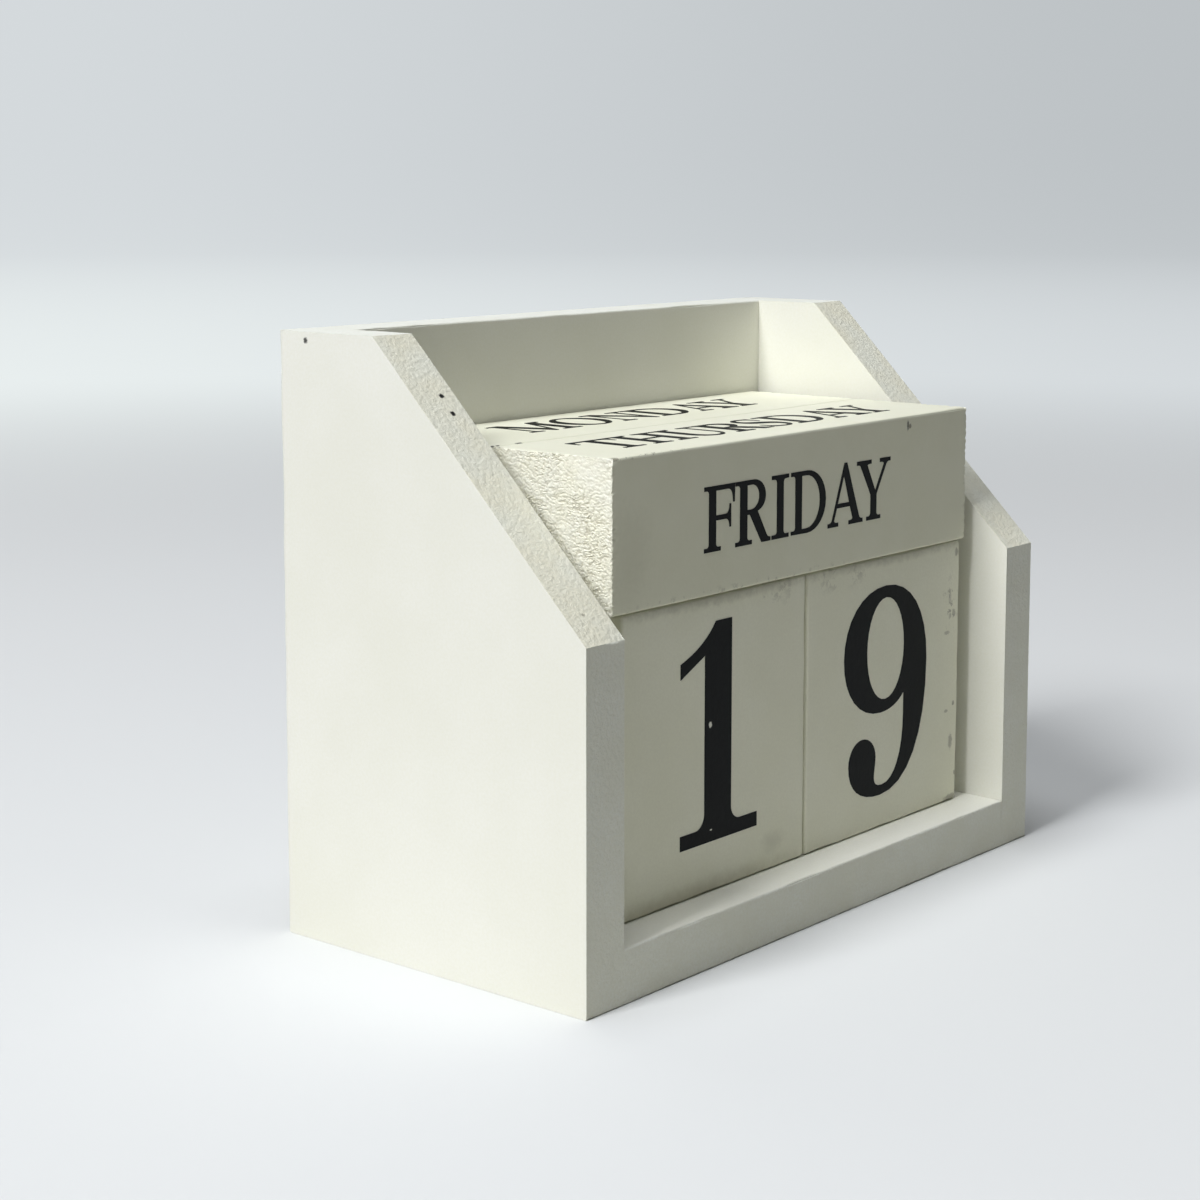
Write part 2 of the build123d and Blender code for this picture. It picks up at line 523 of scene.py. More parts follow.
holderMarks = [
    ((-65.5, 26.4, 100.6), (0.5, 0.45, 0.45), darkSpecksAndPitShade, 0.95),  # painted shade of a pit near the top rear of the left side, the pit itself not modelled
]
slopeMarks = [
    ((-59.5, 1.6, 92.6), (0.5, 0.42, 0.42), tone(14, 13, 12), 1.0),  # two pinholes in the left slope, painted as near-black spots of shade, the holes not modelled
    ((-59.6, -1.0, 90.0), (0.5, 0.45, 0.45), tone(14, 13, 12), 1.0),
    ((-61.5, -29.5, 61.5), (0.3, 0.3, 0.3), grime, 0.6),
]
holderFace = paintMaterial("holderPaint", facePaint, holderMarks)
holderEdge = paintMaterial("holderEdgePaint", edgePaint)
holderSlope = paintMaterial("holderSlopePaint", slopePaint, slopeMarks)
makeSide("left_side", board, [holderFace, holderEdge, holderSlope])
makeSide("right_side", board, [holderFace, holderEdge, holderSlope])
makeBack(board, [holderFace, holderEdge])
makeBase(board, [holderFace, holderEdge])

# ---- number blocks ----
ink = {"proud": 0.04, "deep": 0.1}  # the wood is set back so that the print ends flush with the CAD faces
block = {"round": 0.6, "cuts": 28, "sink": 0.03, "wave": 12, "wander": 0.12, "wanderSize": 6, "seed": 7}


def makeBlock(node, body, setup, material):
    low, high = nodeBox(node)
    inset = Vector((1, 1, 1)) * ink["proud"]
    low, high = low + inset, high - inset
    bm = bmesh.new()
    bmesh.ops.create_cube(bm, size=1, matrix=Matrix.LocRotScale((low + high) / 2, None, high - low))
    ease(bm, bm.edges[:], setup["round"], 4)
    long = [e for e in bm.edges if e.calc_length() > 20]
    bmesh.ops.subdivide_edges(bm, edges=long, cuts=setup["cuts"], use_grid_fill=True)
    sink(bm, setup["sink"], setup["wave"], setup["seed"] + low.x, setup["wander"], setup["wanderSize"])
    finishPiece(bm, "painted_" + node, body, node, [material])


# smudges, and painted shade along the top edges of the blocks under the bar
smudgeAndShade = tone(150, 147, 128)
leftBlockMarks = [
    ((-7.4, -26, 13.8), (2.6, 1, 1.5), smudgeAndShade, 0.2),
    ((-22, -26, 58.8), (26, 2, 1.2), smudgeAndShade, 0.5),  # darker along the top edge under the bar: rub marks, and painted shade under the bar
    ((-10, -26, 57.8), (10, 2, 2.2), smudgeAndShade, 0.35, 4.0),
    # painted shade along the foot of the block where it stands on the base
    ((-30, -26, 9.6), (20, 2, 1.6), tone(190, 184, 156), 0.4),
]
rightBlockMarks = [
    ((50.9, -26, 56.8), (0.5, 1, 0.8), grime, 0.55),
    ((49.4, -26, 47.2), (2.4, 1, 4.0), grime, 0.55, 2.0),
    ((50.3, -26, 45.2), (0.55, 1, 0.8), grime, 0.45),
    ((48.9, -26, 48.1), (0.5, 1, 1.0), grime, 0.3),
    ((47.9, -26, 41.7), (0.9, 1, 0.35), grime, 0.4),
    ((50.6, -26, 27.8), (0.35, 1, 0.45), grime, 0.6),
    ((48.1, -26, 26.7), (0.6, 1, 0.3), grime, 0.5),
    ((49.8, -26, 20.6), (0.6, 1, 1.5), grime, 0.5),
    ((51.6, -26, 14.2), (0.4, 1, 0.45), grime, 0.6),
    ((50.3, -26, 9.7), (2.4, 1, 0.6), grime, 0.55),
    # darker along the top edge under the bar: rub marks, and painted shade under the bar
    ((12, -26, 58.0), (10, 2, 2.4), smudgeAndShade, 0.4, 4.0),
    ((27, -26, 58.8), (26, 2, 1.1), smudgeAndShade, 0.45),
]
leftBlockPaint = paintMaterial("leftBlockPaint", blockPaint, leftBlockMarks)
makeBlock("left_number_block", "left_block", block, leftBlockPaint)
rightBlockPaint = paintMaterial("rightBlockPaint", blockPaint, rightBlockMarks)
makeBlock("right_number_block", "right_block", block, rightBlockPaint)

# ---- weekday bars ----
bar = {
    "round": 0.45,
    "cells": 180,  # across a sawn end
    "rings": [0, 0.25, 0.5, 1, 2, 4, 8],  # cuts round it near an end, in mm from the end
    "ringStep": 8,
    "torn": 0.34,  # depth of the torn grain
    "tornBack": 0.02,  # of the whole sawn end
    "tornReach": 1.2,  # from the end, along the long faces
    "ragged": 0.5,
    "raggedRim": 0.5,
    "raggedWaves": 1.9,
    "chip": 0.5,  # off the top front corner
    "chipReach": 1.3,
    "sink": 0.03,
    "wave": 12,
    "wander": 0.14,
    "wanderSize": 3.5,
    "farSeed": 60,  # added for the right end
}
grain = {
    "sway": (0.5, 0.35),  # mm, of the fibres across and up
    "octaves": 3,
    "finer": 0.6,  # each octave's size and share of the one before
    "fainter": 0.8,
    "thin": 6.5,  # the more, the thinner the creases
    "fill": 1.5,
    "patch": (0.3, 0.55, 0.7),  # least, middle and swing of the roughness from place to place
}


def tornGrain(y, z, seed):
    # flat torn fibres parted by thin creases, longer across than up
    swayAcross = grain["sway"][0] * noise.noise(Vector((y * 0.5, z * 0.5, seed)))
    swayUp = grain["sway"][1] * noise.noise(Vector((y, z, seed + 5)))
    y, z = y + swayAcross, z + swayUp
    depth, size, share = 0, 1.0, 1.0
    for octave in range(grain["octaves"]):
        wave = noise.noise(Vector((y * 0.7 / size + z * 0.3 / size, z * 1.7 / size, seed + 9 * octave)))
        depth += share * max(0, 1 - abs(wave) * grain["thin"])
        size, share = size * grain["finer"], share * grain["fainter"]
    least, middle, swing = grain["patch"]
    patch = min(1, max(least, middle + swing * noise.noise(Vector((y * 0.12, z * 0.12, seed + 40)))))
    return min(1, depth / grain["fill"]) * patch


def makeBar(node, body, setup, seed, materials):
    low, high = nodeBox(node)
    inset = Vector((0, 1, 1)) * ink["proud"]
    low, high = low + inset, high - inset
    middle, half = (low + high) / 2, (high - low) / 2
    length, cells = high.x - low.x, setup["cells"]
    bm = bmesh.new()
    # the left end as a fine grid in the YZ plane, its corners rounded
    upright = Matrix(((0, 0, 1), (1, 0, 0), (0, 1, 0))).to_4x4()
    place = Matrix.Translation((low.x, middle.y, middle.z)) @ upright
    bmesh.ops.create_grid(bm, x_segments=cells, y_segments=cells, size=half.y, matrix=place)
    straight = Vector((0, half.y - setup["round"], half.z - setup["round"]))
    for vert in bm.verts:
        away = vert.co - middle
        nearest = Vector((away.x, *(max(-straight[i], min(straight[i], away[i])) for i in (1, 2))))
        beyond = away - nearest
        if beyond.length > setup["round"]:
            vert.co = middle + nearest + beyond.normalized() * setup["round"]
    farEnd = bmesh.ops.duplicate(bm, geom=bm.faces[:])
    farVerts = [item for item in farEnd["geom"] if isinstance(item, bmesh.types.BMVert)]
    bmesh.ops.translate(bm, verts=farVerts, vec=(length, 0, 0))
    rim = [e for e in bm.edges if e.is_boundary and e.verts[0].co.x < middle.x]
    near, step = setup["rings"], setup["ringStep"]
    along = near + steps(near[-1], length - near[-1], step) + [length - x for x in reversed(near)]
    for start, end in zip(along, along[1:]):
        out = bmesh.ops.extrude_edge_only(bm, edges=rim)["geom"]
        moved = [item for item in out if isinstance(item, bmesh.types.BMVert)]
        rim = [item for item in out if isinstance(item, bmesh.types.BMEdge)]
        bmesh.ops.translate(bm, verts=moved, vec=(end - start, 0, 0))
    bmesh.ops.remove_doubles(bm, verts=bm.verts, dist=1e-4)
    bmesh.ops.recalc_face_normals(bm, faces=bm.faces)
    for face in bm.faces:
        face.material_index = 1 if abs(face.normal.x) > 0.7 else 0
        face.smooth = True
    sink(bm, setup["sink"], setup["wave"], seed, setup["wander"], setup["wanderSize"])
    creases = bm.verts.layers.float.new("torn")
    corner = Vector((low.x, low.y, high.z))
    for vert in bm.verts:
        atLeft = vert.co.x < middle.x
        inward = vert.co.x - low.x if atLeft else high.x - vert.co.x
        if inward < setup["tornReach"]:
            fade = max(0, 1 - inward / setup["tornReach"])
            endSeed = seed if atLeft else seed + setup["farSeed"]
            torn = tornGrain(vert.co.y, vert.co.z, endSeed) * fade ** 2
            vert[creases] = torn
            vert.co.x += (setup["torn"] * torn + setup["tornBack"]) * (1 if atLeft else -1)
            out = Vector((0, vert.co.y - middle.y, vert.co.z - middle.z))
            if max(abs(out.y), abs(out.z)) > half.y - setup["raggedRim"]:
                wave = noise.noise(vert.co * setup["raggedWaves"] + Vector((0, 0, seed)))
                nick = max(0, wave) * setup["ragged"]
                vert.co -= out.normalized() * nick * fade
            knocked = max(0, 1 - (vert.co - corner).length / setup["chipReach"])
            vert.co -= (corner - middle).normalized() * knocked * setup["chip"]
    finishPiece(bm, "painted_" + node, body, node, materials, sharpAngle=50)


barWear = tone(112, 104, 84)
frontBarMarks = [
    ((33.0, -26.3, 82.2), (0.3, 1, 0.9), darkSpecksAndPitShade, 0.8),
    ((33.7, -26.3, 82.0), (0.45, 1, 0.4), grime, 0.8),
    ((-49.9, -26.2, 83.8), (0.8, 1, 0.35), barWear, 0.6),
    ((-42, -26.3, 83.9), (8, 0.6, 0.35), barWear, 0.7, 1.2),
    # faintly darker near the left end of the front face
    ((-46, -26.3, 69), (4, 1, 6), smudgeAndShade, 0.12),
    # darker, broken up, along the lower edge at the join with the blocks
    ((-20, -26.3, 59.3), (30, 1, 0.8), smudgeAndShade, 0.4, 2.0),
    ((-50.1, -1.6, 84), (0.5, 0.3, 0.4), darkSpecksAndPitShade, 0.9),
    ((-49.2, -1.3, 84), (0.35, 0.3, 0.4), darkSpecksAndPitShade, 0.9),
    ((-50.7, -2.6, 83.9), (0.35, 0.6, 0.4), darkSpecksAndPitShade, 0.7),
    ((-43.8, -1.3, 84), (1.0, 0.35, 0.5), darkSpecksAndPitShade, 0.9),
]
rearBarMarks = [
    ((-50.2, -0.4, 84), (0.7, 0.35, 0.4), darkSpecksAndPitShade, 0.9),
    ((-48.9, -0.6, 84), (0.5, 0.2, 0.4), darkSpecksAndPitShade, 0.9),
    ((-44.0, -0.9, 84), (0.9, 0.35, 0.5), darkSpecksAndPitShade, 0.9),
]
sawnMaterial = paintMaterial("sawnEndPaint", sawnPaint)
frontBarPaint = paintMaterial("frontBarPaint", barPaint, frontBarMarks)
makeBar("front_weekday_bar", "front_bar", bar, 11, [frontBarPaint, sawnMaterial])
rearBarPaint = paintMaterial("rearBarPaint", barPaint, rearBarMarks)
makeBar("rear_weekday_bar", "rear_bar", bar, 23, [rearBarPaint, sawnMaterial])

# ---- brads ----
bradSteel = Shader("bradSteel")
scratch = bradSteel.noise(0.4, 3.0, 0.6, bradSteel.stretch((1, 1, 0.2)))
bradSteel.surface({
    "Base Color": bradSteel.mix(scratch, tone(150, 152, 155), tone(176, 178, 180)),
    "Metallic": 1.0,
    "Roughness": 0.32 + scratch * 0.2,
    "Normal": bradSteel.bump(scratch, 0.2, 0.02),
})
for node in ("left_side_brads", "right_side_brads", "back_brads"):
    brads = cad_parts[node]
    brads.data.materials.clear()
    brads.data.materials.append(bradSteel.material)

# ---- numbers and weekdays: own roman forms, drawn at a height of 1 ----
# A loop is a list of stretches. Each ends at (x, y) and is straight, a quarter oval that sets out level
# ("h") or upright ("v"), or a curve with its two handles.
roman = {"hair": 0.066, "foot": 0.055, "reach": 0.12, "bracket": 0.06, "spread": 0.006}
# the hair line, the serif, and the serif with its bracket
h, f, g = roman["hair"], roman["foot"], roman["foot"] + roman["bracket"]


def oval(x, y, halfWidth, halfHeight):
    return [
        (x - halfWidth, y), (x, y + halfHeight, "v"), (x + halfWidth, y, "h"), (x, y - halfHeight, "v"),
        (x - halfWidth, y, "h"),
    ]


def serif(start, end, y, up, before=roman["reach"], after=roman["reach"]):
    # walks across the end of an upright from its side at start to its side at end
    way = 1 if end > start else -1
    bend = roman["bracket"]
    walk = [(start, y)]
    if before:
        walk = [(start, y + up * g), (start - way * bend, y + up * f, "v")]
        walk += [(start - way * before, y + up * f), (start - way * before, y)]
    if after:
        walk += [(end + way * after, y), (end + way * after, y + up * f), (end + way * bend, y + up * f)]
        walk += [(end, y + up * g, "h")]
    else:
        walk += [(end, y)]
    return walk


def foot(start, end, before=roman["reach"], after=roman["reach"]):
    return serif(start, end, 0, 1, before, after)


def head(start, end, before=roman["reach"], after=roman["reach"]):
    return serif(start, end, 1, -1, before, after)


midArm = [(0.31, 0.475), (0.55, 0.475), (0.66, 0.34, 0.62, 0.475, 0.65, 0.44), (0.69, 0.34), (0.69, 0.69)]
midArm += [(0.66, 0.69), (0.55, 0.475 + h, 0.65, 0.57, 0.62, 0.475 + h), (0.31, 0.475 + h)]
topArm = [(0.31, 1 - h), (0.60, 1 - h), (0.75, 0.72, 0.70, 1 - h, 0.74, 0.88), (0.78, 0.72), (0.79, 1)]
lowArm = [(0.79, 0), (0.83, 0.29), (0.80, 0.29), (0.60, h, 0.77, 0.12, 0.71, h), (0.31, h)]
# each letter: its width, then its outline and the holes in it
letters = {
    "A": (1.0, [
        [(0, 0), (0.29, 0), (0.29, f), (0.175, 0.11, 0.22, f, 0.16, 0.06), (0.25, 0.30), (0.634, 0.30),
         (0.708, 0.11), (0.60, f, 0.72, 0.06, 0.67, f), (0.60, 0), (1.0, 0), (1.0, f),
         (0.89, 0.12, 0.94, f, 0.91, 0.07), (0.535, 1.02), (0.465, 1.02), (0.12, 0.11),
         (0, f, 0.10, 0.06, 0.06, f)],
        [(0.27, 0.36), (0.612, 0.36), (0.452, 0.83)],
    ]),
    "D": (0.98, [
        foot(0.13, 0.3, after=0) + [(0.45, 0), (0.97, 0.5, "h"), (0.45, 1, "v")]
        + head(0.3, 0.13, before=0)[1:],
        [(0.3, h), (0.43, h), (0.81, 0.5, "h"), (0.43, 1 - h, "v"), (0.3, 1 - h)],
    ]),
    "E": (0.84, [foot(0.14, 0.31, after=0) + lowArm + midArm + topArm + head(0.31, 0.14, before=0)[1:]]),
    "F": (0.79, [foot(0.14, 0.31) + midArm + topArm + head(0.31, 0.14, before=0)[1:]]),
    "H": (1.04, [
        foot(0.13, 0.3) + [(0.3, 0.475), (0.73, 0.475)] + foot(0.73, 0.9) + head(0.9, 0.73)
        + [(0.73, 0.475 + h), (0.3, 0.475 + h)] + head(0.3, 0.13),
    ]),
    "I": (0.47, [foot(0.15, 0.32, 0.14, 0.14) + head(0.32, 0.15, 0.14, 0.14)]),
    "M": (1.25, [
        foot(0.15, 0.21) + [(0.21, 0.85), (0.56, -0.02), (0.62, -0.02), (0.93, 0.80)] + foot(0.93, 1.1)
        + head(1.1, 0.96, after=0) + [(0.665, 0.22), (0.32, 1)] + head(0.2, 0.15, before=0)[1:],
    ]),
    "N": (1.04, [
        foot(0.16, 0.22) + [(0.22, 0.84), (0.82, -0.02), (0.88, -0.02)] + head(0.88, 0.82)
        + [(0.82, 0.23), (0.32, 1)] + head(0.2, 0.16, before=0)[1:],
    ]),
    "O": (1.0, [oval(0.5, 0.5, 0.48, 0.52), oval(0.5, 0.5, 0.31, 0.468)]),
    "R": (0.93, [
        foot(0.14, 0.32) + [(0.32, 0.47), (0.39, 0.47), (0.70, 0), (0.93, 0), (0.93, f)]
        + [(0.82, 0.12, 0.88, f, 0.85, 0.07), (0.585, 0.505), (0.80, 0.74, 0.72, 0.54, 0.80, 0.62)]
        + [(0.49, 1, "v")] + head(0.32, 0.14, before=0)[1:],
        [(0.32, 0.47 + h), (0.42, 0.47 + h), (0.64, 0.74, "h"), (0.44, 1 - h, "v"), (0.32, 1 - h)],
    ]),
    "S": (0.70, [[
        (0.565, 0.99), (0.585, 0.71), (0.555, 0.71), (0.33, 0.97, 0.53, 0.88, 0.45, 0.97),
        (0.175, 0.80, 0.23, 0.97, 0.175, 0.90), (0.40, 0.60, 0.175, 0.70, 0.27, 0.66),
        (0.655, 0.27, 0.56, 0.53, 0.655, 0.43), (0.34, -0.02, 0.655, 0.09, 0.53, -0.02),
        (0.09, 0.03, 0.24, -0.02, 0.16, 0.01), (0.04, 0.30), (0.07, 0.30),
        (0.34, 0.035, 0.10, 0.14, 0.20, 0.035), (0.53, 0.21, 0.46, 0.035, 0.53, 0.11),
        (0.30, 0.43, 0.53, 0.32, 0.44, 0.37),
        (0.04, 0.76, 0.14, 0.50, 0.04, 0.60), (0.32, 1.02, 0.04, 0.92, 0.16, 1.02),
        (0.565, 0.99, 0.42, 1.02, 0.50, 1.0),
    ]]),
    "T": (0.92, [
        foot(0.375, 0.545, 0.15, 0.15)
        + [(0.545, 1 - h), (0.70, 1 - h), (0.86, 0.74, 0.81, 1 - h, 0.85, 0.89), (0.89, 0.74)]
        + [(0.90, 1), (0.02, 1), (0.03, 0.74), (0.06, 0.74), (0.22, 1 - h, 0.07, 0.89, 0.11, 1 - h)]
        + [(0.375, 1 - h)],
    ]),
    "U": (1.0, [
        [(0.14, 0.33), (0.50, -0.02, "v"), (0.86, 0.33, "h")] + head(0.86, 0.8)
        + [(0.8, 0.33), (0.53, 0.05, "v"), (0.31, 0.33, "h")] + head(0.31, 0.14),
    ]),
    "W": (1.38, [[
        (0, 1), (0, 1 - f), (0.11, 0.90, 0.07, 1 - f, 0.09, 0.95), (0.46, -0.02), (0.52, -0.02),
        (0.70, 0.62), (0.90, -0.02), (0.96, -0.02), (1.25, 0.90), (1.37, 1 - f, 1.27, 0.95, 1.31, 1 - f),
        (1.37, 1), (1.08, 1), (1.08, 1 - f), (1.19, 0.90, 1.14, 1 - f, 1.20, 0.95), (1.0, 0.22),
        (0.80, 0.90), (0.91, 1 - f, 0.79, 0.95, 0.84, 1 - f), (0.91, 1), (0.50, 1), (0.50, 1 - f),
        (0.61, 0.90, 0.57, 1 - f, 0.59, 0.95), (0.674, 0.697), (0.545, 0.22), (0.30, 0.90),
        (0.41, 1 - f, 0.29, 0.95, 0.34, 1 - f), (0.41, 1),
    ]]),
    "Y": (1.0, [
        foot(0.41, 0.58)
        + [(0.58, 0.42), (0.865, 0.90), (0.99, 1 - f, 0.90, 0.95, 0.93, 1 - f), (0.99, 1), (0.68, 1)]
        + [(0.68, 1 - f), (0.795, 0.90, 0.74, 1 - f, 0.81, 0.94), (0.545, 0.47), (0.31, 0.90)]
        + [(0.42, 1 - f, 0.29, 0.94, 0.35, 1 - f), (0.42, 1), (0, 1), (0, 1 - f)]
        + [(0.12, 0.90, 0.07, 1 - f, 0.09, 0.95), (0.41, 0.42)],
    ]),
}
# pairs set closer than their widths, or farther apart
tucked = {"AY": 0.17, "DA": -0.06, "RI": -0.03, "ID": -0.05, "SD": -0.03}
nine = [
    (0.345, 1.0), (0.704, 0.60, 0.56, 1.0, 0.704, 0.84), (0.31, 0, 0.704, 0.22, 0.55, 0),
    (0.045, 0.182, 0.14, 0, 0.045, 0.07), (0.158, 0.294, "v"), (0.272, 0.19, "h"),
    (0.33, 0.047, 0.272, 0.12, 0.22, 0.047), (0.505, 0.36, 0.44, 0.047, 0.505, 0.18), (0.505, 0.466),
    (0.31, 0.397, 0.46, 0.42, 0.39, 0.397), (0.0, 0.69, 0.13, 0.397, 0.0, 0.52),
    (0.345, 1.0, 0.0, 0.87, 0.14, 1.0),
]
numerals = {
    "0": (0.70, [oval(0.35, 0.5, 0.35, 0.51), oval(0.35, 0.5, 0.16, 0.455)]),
    "1": (0.57, [[
        (0, 0), (0.57, 0), (0.57, 0.068), (0.44, 0.068), (0.373, 0.135, "h"), (0.373, 1.0), (0.254, 1.0),
        (0.0, 0.84, 0.20, 0.93, 0.12, 0.88), (0.0, 0.77), (0.175, 0.854), (0.175, 0.135),
        (0.11, 0.068, "v"), (0, 0.068),
    ]]),
    "2": (0.66, [[
        (0.02, 0), (0.62, 0), (0.66, 0.28), (0.625, 0.28), (0.50, 0.135, 0.60, 0.18, 0.57, 0.135),
        (0.18, 0.135), (0.62, 0.72, 0.34, 0.32, 0.62, 0.46), (0.31, 1.0, 0.62, 0.90, 0.49, 1.0),
        (0.03, 0.76, 0.14, 1.0, 0.03, 0.90), (0.14, 0.65, "v"), (0.25, 0.76, "h"),
        (0.29, 0.955, 0.25, 0.86, 0.20, 0.955),
        (0.425, 0.72, 0.38, 0.955, 0.425, 0.86), (0.02, 0.06, 0.425, 0.48, 0.18, 0.30),
    ]]),
    "3": (0.66, [[
        (0.30, 1.0), (0.60, 0.76, 0.47, 1.0, 0.60, 0.91), (0.42, 0.53, 0.60, 0.63, 0.53, 0.56),
        (0.66, 0.27, 0.57, 0.50, 0.66, 0.41), (0.29, 0, 0.66, 0.10, 0.50, 0),
        (0.02, 0.20, 0.13, 0, 0.02, 0.08), (0.13, 0.31, "v"), (0.24, 0.20, "h"),
        (0.29, 0.045, 0.24, 0.12, 0.20, 0.045),
        (0.46, 0.27, 0.40, 0.045, 0.46, 0.13), (0.22, 0.50, 0.46, 0.43, 0.37, 0.50), (0.22, 0.545),
        (0.41, 0.76, 0.35, 0.545, 0.41, 0.62), (0.28, 0.955, 0.41, 0.90, 0.37, 0.955),
        (0.245, 0.80, 0.20, 0.955, 0.245, 0.88), (0.14, 0.70, "v"), (0.04, 0.80, "h"),
        (0.30, 1.0, 0.04, 0.92, 0.15, 1.0),
    ]]),
    "4": (0.70, [
        foot(0.44, 0.57) + [(0.57, 0.24), (0.70, 0.24), (0.70, 0.31), (0.57, 0.31), (0.57, 1), (0.47, 1)]
        + [(0, 0.31), (0, 0.24), (0.44, 0.24)],
        [(0.09, 0.31), (0.44, 0.31), (0.44, 0.83)],
    ]),
    "5": (0.66, [[
        (0.12, 1), (0.60, 1), (0.56, 0.86), (0.165, 0.86), (0.165, 0.58),
        (0.35, 0.63, 0.22, 0.61, 0.28, 0.63), (0.66, 0.32, 0.54, 0.63, 0.66, 0.50),
        (0.29, 0, 0.66, 0.11, 0.50, 0), (0.02, 0.19, 0.13, 0, 0.02, 0.08),
        (0.13, 0.30, "v"), (0.24, 0.19, "h"), (0.28, 0.045, 0.24, 0.11, 0.20, 0.045),
        (0.465, 0.31, 0.40, 0.045, 0.465, 0.15), (0.30, 0.575, 0.465, 0.48, 0.40, 0.575),
        (0.12, 0.50, 0.22, 0.575, 0.17, 0.55),
    ]]),
    "7": (0.66, [[
        (0.03, 1), (0.66, 1), (0.66, 0.93), (0.31, 0, 0.46, 0.60, 0.34, 0.28), (0.12, 0),
        (0.56, 0.86, 0.14, 0.30, 0.36, 0.62), (0.16, 0.86), (0.055, 0.70, 0.10, 0.86, 0.07, 0.78),
        (0.02, 0.70),
    ]]),
    "8": (0.68, [
        [(0.15, 0.525), (0, 0.26, 0.06, 0.47, 0, 0.38), (0.34, -0.01, "v"), (0.68, 0.26, "h"),
         (0.53, 0.525, 0.68, 0.38, 0.62, 0.47), (0.62, 0.76, 0.59, 0.57, 0.62, 0.66), (0.34, 1.01, "v"),
         (0.06, 0.76, "h"), (0.15, 0.525, 0.06, 0.66, 0.09, 0.57)],
        oval(0.34, 0.76, 0.125, 0.205), oval(0.34, 0.255, 0.165, 0.215),
    ]),
    "9": (0.704, [nine, oval(0.347, 0.70, 0.157, 0.243)]),
}


def addLoop(curve, loop, shift):
    spline = curve.splines.new("BEZIER")
    spline.bezier_points.add(len(loop) - 1)
    spline.use_cyclic_u, spline.resolution_u = True, 8
    points = spline.bezier_points
    for point in points:
        point.handle_left_type = point.handle_right_type = "FREE"
    for point, stretch in zip(points, loop):
        point.co = (stretch[0] + shift, stretch[1], 0)
    roundness = 0.56
    for i, stretch in enumerate(loop):
        start, end = points[i - 1], points[i]
        across, up = end.co.x - start.co.x, end.co.y - start.co.y
        if len(stretch) == 2:
            start.handle_right_type = end.handle_left_type = "VECTOR"
        elif stretch[2] == "h":
            start.handle_right = (start.co.x + roundness * across, start.co.y, 0)
            end.handle_left = (end.co.x, end.co.y - roundness * up, 0)
        elif stretch[2] == "v":
            start.handle_right = (start.co.x, start.co.y + roundness * up, 0)
            end.handle_left = (end.co.x - roundness * across, end.co.y, 0)
        else:
            start.handle_right = (stretch[2] + shift, stretch[3], 0)
            end.handle_left = (stretch[4] + shift, stretch[5], 0)


def makeWord(word, forms):
    # the outlines of its letters side by side, filled, spread like wet paint when they are letters rather
    # than numerals, and given a thickness of 1
    curve = bpy.data.curves.new("outline", "CURVE")
    curve.dimensions, curve.fill_mode = "2D", "BOTH"
    shift = 0
    for letter, following in zip(word, word[1:] + " "):
        width, loops = forms[letter]
        for loop in loops:
            if loop[0][:2] == loop[-1][:2]:  # the last stretch closes it at the start
                loop = [loop[-1]] + loop[1:-1]
            addLoop(curve, loop, shift)
        shift += width - tucked.get(letter + following, 0)
    holder = bpy.data.objects.new("outline", curve)
    bpy.context.scene.collection.objects.link(holder)
    bpy.context.view_layer.update()
    mesh = bpy.data.meshes.new_from_object(holder)
    bpy.data.objects.remove(holder)
    bpy.data.curves.remove(curve)
    bm = bmesh.new()
    bm.from_mesh(mesh)
    bpy.data.meshes.remove(mesh)
    bmesh.ops.remove_doubles(bm, verts=bm.verts, dist=1e-5)
    if forms is letters:
        rim = bmesh.ops.inset_region(
            bm, faces=bm.faces[:], thickness=-roman["spread"], use_boundary=True, use_even_offset=True,
        )
        bmesh.ops.delete(bm, geom=rim["faces"], context="FACES")
    raised = bmesh.ops.extrude_face_region(bm, geom=bm.faces[:])
    moved = [item for item in raised["geom"] if isinstance(item, bmesh.types.BMVert)]
    bmesh.ops.translate(bm, verts=moved, vec=(0, 0, 1))
    bmesh.ops.recalc_face_normals(bm, faces=bm.faces)
    return bm


# each face of a piece: right and up as it is read, and the way that it looks
sidesOf = {
    "front": ((1, 0, 0), (0, 0, 1), (0, -1, 0)),
    "back": ((-1, 0, 0), (0, 0, 1), (0, 1, 0)),
    "left": ((0, -1, 0), (0, 0, 1), (-1, 0, 0)),
    "right": ((0, 1, 0), (0, 0, 1), (1, 0, 0)),
    "top": ((1, 0, 0), (0, 1, 0), (0, 0, 1)),
    "under": ((1, 0, 0), (0, -1, 0), (0, 0, -1)),
}


def faceMatrix(node, side, x, y, height):
    # x and y in mm from the face's lower left corner as it is read
    low, high = nodeBox(node)
    right, up, out = (Vector(v) for v in sidesOf[side])
    corner = (low + high) / 2
    for direction, sign in ((right, -1), (up, -1), (out, 1)):
        reach = abs(direction.dot(high - low)) / 2
        corner = corner + direction * reach * sign
    corner = corner + right * x + up * y - out * ink["deep"]
    turn = Matrix((right, up, out)).transposed().to_4x4()
    return Matrix.Translation(corner) @ turn @ Matrix.Diagonal((height, height, ink["deep"], 1))


def printPiece(name, body, node, prints, forms, material):
    whole = bmesh.new()
    for word, side, x, y, height in prints:
        bm = makeWord(word, forms)
        bm.transform(faceMatrix(node, side, x, y, height))
        mesh = bpy.data.meshes.new("word")
        bm.to_mesh(mesh)
        bm.free()
        whole.from_mesh(mesh)
        bpy.data.meshes.remove(mesh)
    finishPiece(whole, name, body, None, [material], sharpAngle=20)


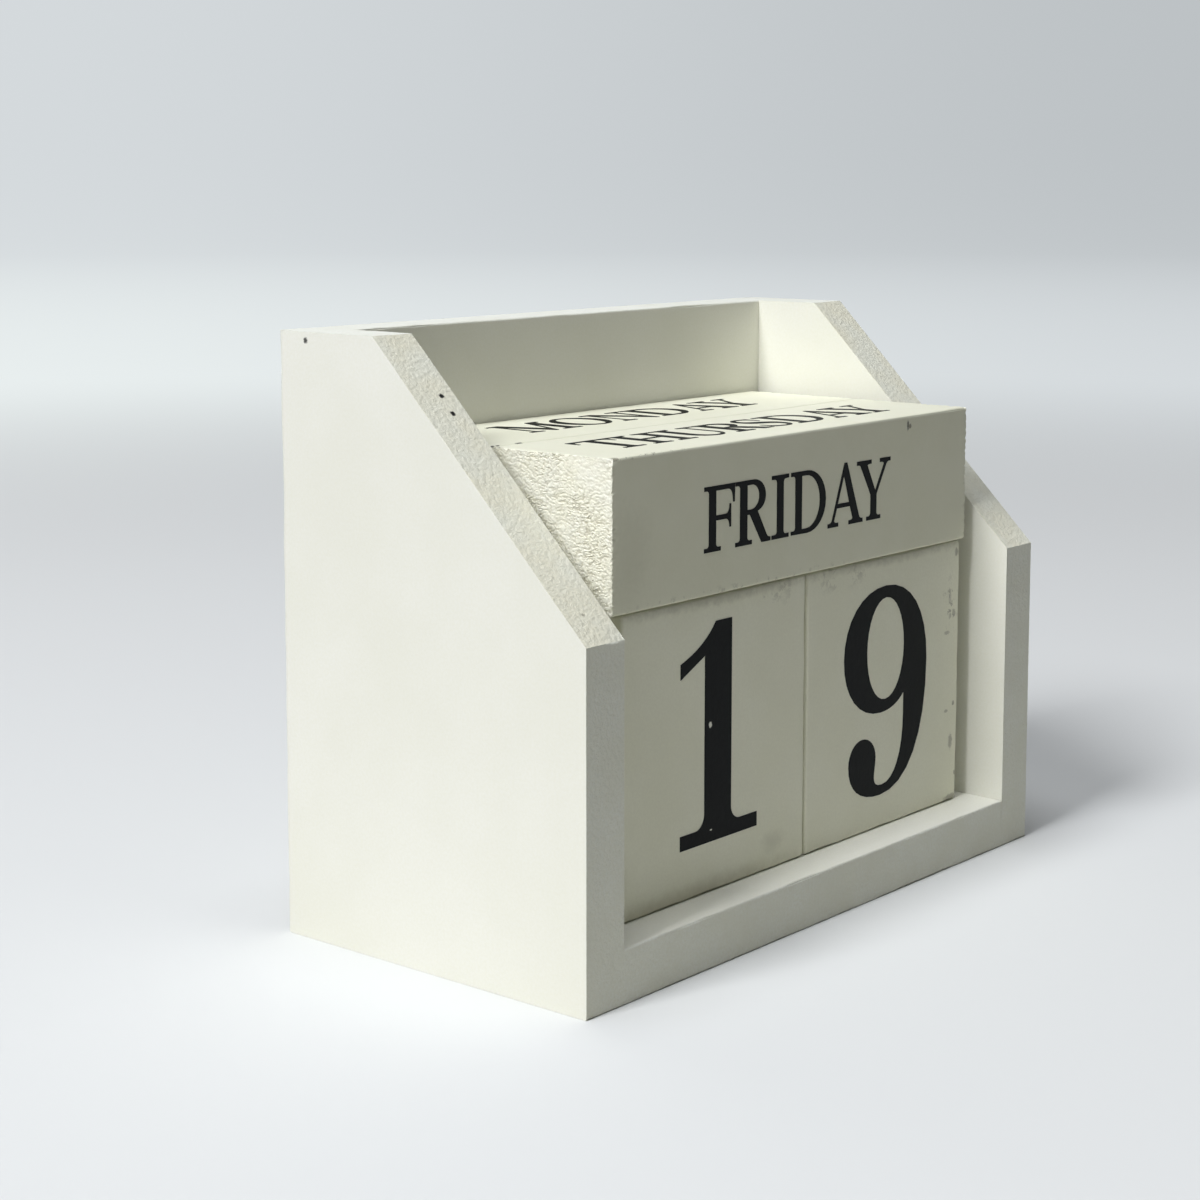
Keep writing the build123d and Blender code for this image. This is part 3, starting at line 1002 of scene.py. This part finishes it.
def inkMaterial(name, flaws):
    # stiff black paint, with dull and bright patches, and places where it has come away
    shader = Shader(name)
    mottle = shader.noise(1.6, 4.0, 0.6)
    colour = shader.mix(shader.smooth(mottle, 0.35, 0.7), tone(5, 8, 8), tone(15, 18, 18))
    for place, size in flaws:
        colour = shader.mix(shader.spot(place, size, 0.2, 0.2), colour, cream)
    return shader.surface({
        "Base Color": colour,
        "Roughness": 0.4 + mottle * 0.25,
        "Normal": shader.bump(shader.noise(0.8, 3.0, 0.6), 0.45, 0.09),
        "Specular IOR Level": 0.1,
    })


# word, face, then where it starts, its foot line and its height in mm
leftBlockPrints = [
    ("1", "front", 14.9, 8.6, 37.0), ("0", "left", 12.0, 6.5, 37.0), ("2", "right", 12.8, 6.5, 37.0),
    ("3", "back", 12.8, 6.5, 37.0), ("4", "top", 12.0, 6.5, 37.0), ("5", "under", 12.8, 6.5, 37.0),
]
rightBlockPrints = [
    ("9", "front", 11.5, 6.1, 38.5), ("0", "left", 12.0, 6.5, 37.0), ("8", "right", 12.4, 6.5, 37.0),
    ("7", "back", 12.8, 6.5, 37.0), ("1", "top", 14.5, 6.5, 37.0), ("2", "under", 12.8, 6.5, 37.0),
]
frontBarPrints = [
    ("FRIDAY", "front", 23.2, 7.3, 10.7), ("THURSDAY", "top", 10.3, 7.7, 11.0),
    ("SATURDAY", "back", 11.0, 7.5, 10.8), ("SUNDAY", "under", 19.0, 7.5, 10.8),
]
rearBarPrints = [
    ("MONDAY", "top", 18.9, 8.2, 11.0), ("TUESDAY", "front", 14.0, 7.5, 10.8),
    ("WEDNESDAY", "under", 5.0, 7.5, 10.2),
]
leftFlaws = [((-25.1, -26, 37.4), (0.4, 0.5, 0.5)), ((-24.8, -26, 19.6), (0.3, 0.5, 0.12))]
wordInk = inkMaterial("weekdayInk", [])
leftInk = inkMaterial("leftNumberInk", leftFlaws)
printPiece("left_block_numbers", "left_block", "left_number_block", leftBlockPrints, numerals, leftInk)
printPiece("right_block_numbers", "right_block", "right_number_block", rightBlockPrints, numerals, wordInk)
printPiece("front_bar_weekdays", "front_bar", "front_weekday_bar", frontBarPrints, letters, wordInk)
printPiece("rear_bar_weekdays", "rear_bar", "rear_weekday_bar", rearBarPrints, letters, wordInk)
print("numbers and weekdays printed")

scene = bpy.context.scene
scene.view_settings.view_transform = "Standard"
